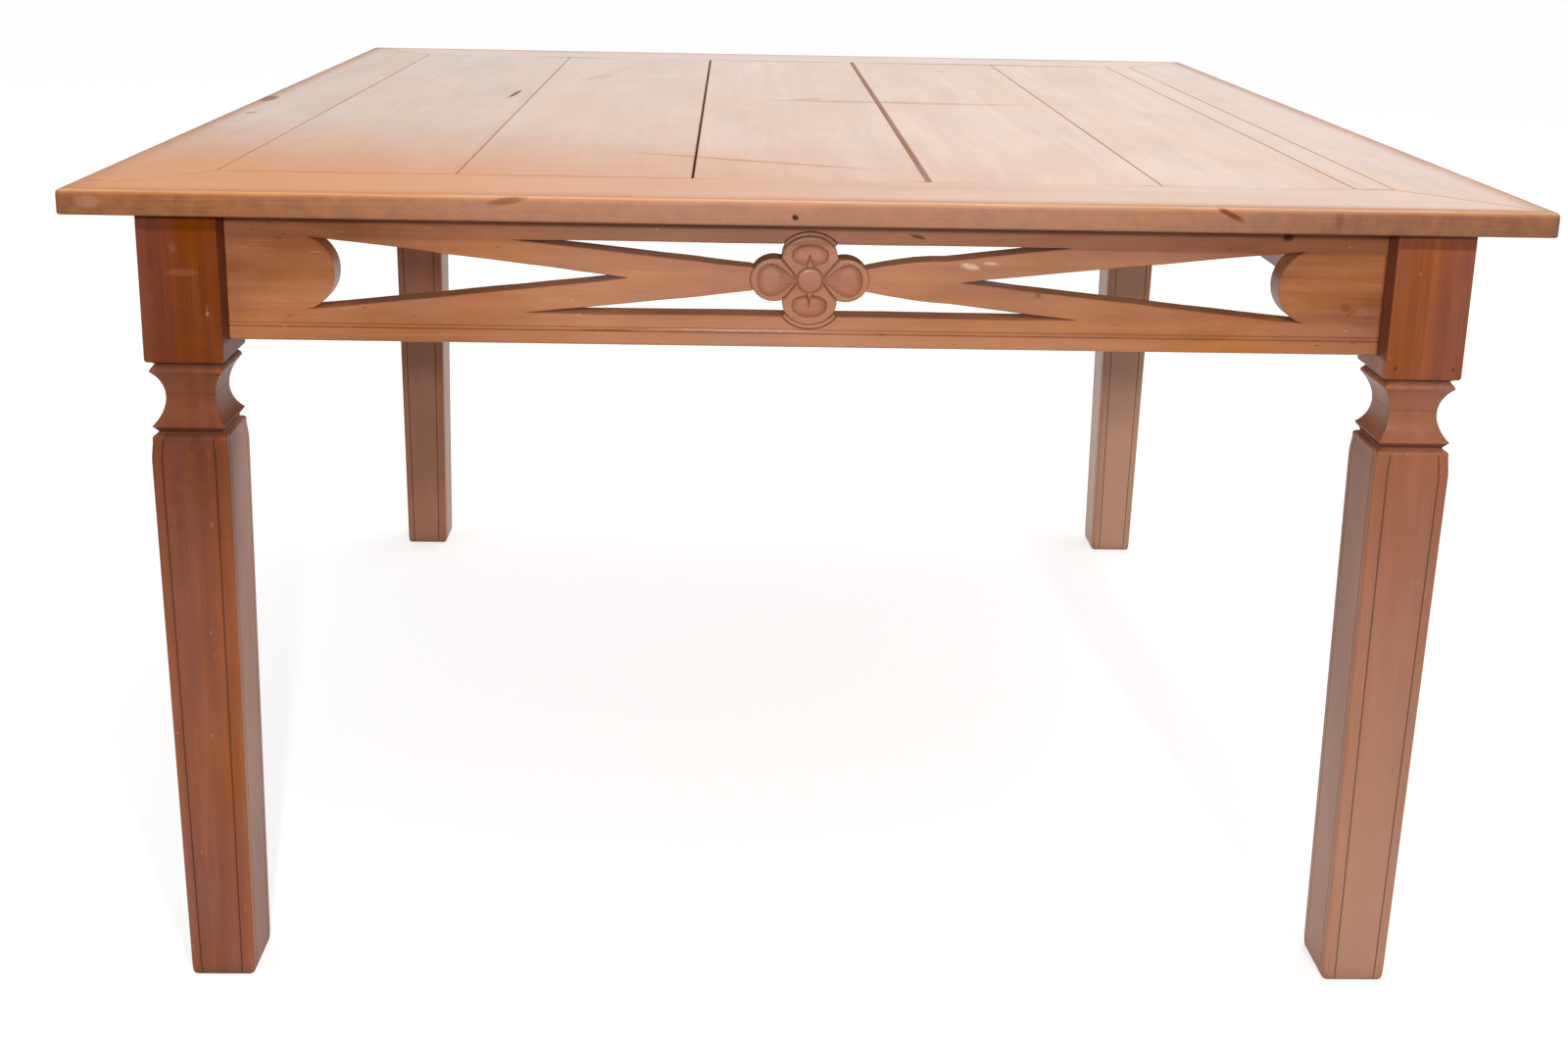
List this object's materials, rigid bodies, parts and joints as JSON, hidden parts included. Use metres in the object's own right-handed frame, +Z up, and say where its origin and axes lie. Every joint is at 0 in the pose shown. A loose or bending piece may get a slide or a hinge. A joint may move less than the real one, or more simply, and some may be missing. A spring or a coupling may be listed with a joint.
{
  "type": "dining table",
  "caption": "Square wooden dining table with a mitred board top, square turned legs with hollowed necks, and pierced aprons carved with a flower in the middle.",
  "frame": {"origin": "on the floor under the middle of the top", "axes": "+Z up, +Y along the boards of the top, -Y towards the pictured side, +X to the right of that side"},
  "size_m": [1.27, 1.27, 0.78],
  "materials": {
    "top_wood": "sun-paled satin varnish",
    "apron_wood": "satin varnish",
    "leg_wood": "satin varnish, darker than the top",
    "hidden_wood": "bare wood",
    "screw_steel": "plain steel"
  },
  "bodies": {
    "root": {"top_board_1": "top_wood", "top_board_2": "top_wood", "top_board_3": "top_wood", "top_board_4": "top_wood", "top_board_5": "top_wood", "top_board_strip": "top_wood", "top_border_front": "top_wood", "top_border_back": "top_wood", "top_border_left": "top_wood", "top_border_right": "top_wood", "apron_front": "apron_wood", "apron_back": "apron_wood", "apron_left": "apron_wood", "apron_right": "apron_wood", "leg_front_left": "leg_wood", "leg_front_right": "leg_wood", "leg_back_left": "leg_wood", "leg_back_right": "leg_wood", "mitre_spline_front_left": "hidden_wood", "mitre_spline_front_right": "hidden_wood", "mitre_spline_back_left": "hidden_wood", "mitre_spline_back_right": "hidden_wood", "bearer_front": "hidden_wood", "bearer_back": "hidden_wood", "corner_block_front_left": "hidden_wood", "corner_block_front_right": "hidden_wood", "corner_block_back_left": "hidden_wood", "corner_block_back_right": "hidden_wood", "button_front_1": "hidden_wood", "button_front_2": "hidden_wood", "button_back_1": "hidden_wood", "button_back_2": "hidden_wood", "button_left_1": "hidden_wood", "button_left_2": "hidden_wood", "button_right_1": "hidden_wood", "button_right_2": "hidden_wood", "corner_screw_front_left": "screw_steel", "corner_screw_front_right": "screw_steel", "corner_screw_back_left": "screw_steel", "corner_screw_back_right": "screw_steel", "button_screw_front_1": "screw_steel", "button_screw_front_2": "screw_steel", "button_screw_back_1": "screw_steel", "button_screw_back_2": "screw_steel", "button_screw_left_1": "screw_steel", "button_screw_left_2": "screw_steel", "button_screw_right_1": "screw_steel", "button_screw_right_2": "screw_steel"}
  },
  "joints": []
}
